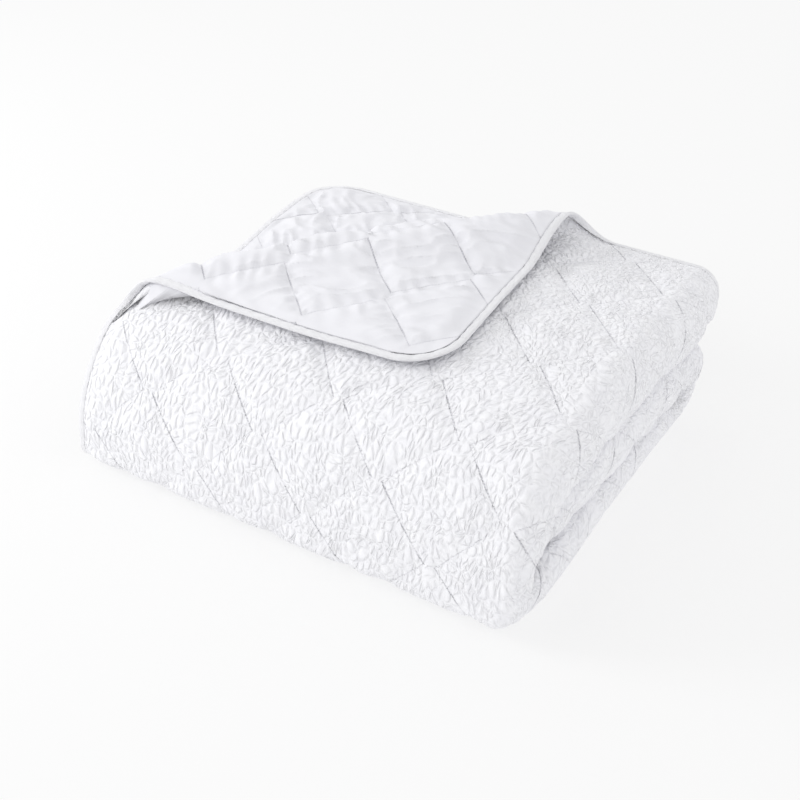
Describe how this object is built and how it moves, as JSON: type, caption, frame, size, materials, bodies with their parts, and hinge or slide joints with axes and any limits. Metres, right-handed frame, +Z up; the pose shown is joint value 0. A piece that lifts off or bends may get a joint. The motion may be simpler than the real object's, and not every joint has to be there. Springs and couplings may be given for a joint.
{
  "type": "folded seersucker bedspread",
  "caption": "Quilted white seersucker bedspread, folded into a thick packet with one corner of its top layer turned back to show the plain backing; bound edges and rounded corners.",
  "frame": {"origin": "middle of the folded packet's underside, on the surface it rests on", "axes": "+X runs along the front of the packet, its longest side; +Y runs to the back; +Z is up, through the folded thickness"},
  "size_m": [0.5763, 0.5089, 0.237],
  "materials": {
    "seersucker": "crinkled white cotton seersucker, quilted, matt",
    "plain_cotton": "smooth plain-woven white cotton, quilted, matt",
    "binding": "plain white cotton bias binding, stitched along its inner side"
  },
  "bodies": {
    "root": {"seersucker_face": "seersucker", "plain_backing": "plain_cotton", "edge_binding": "binding"}
  },
  "joints": []
}
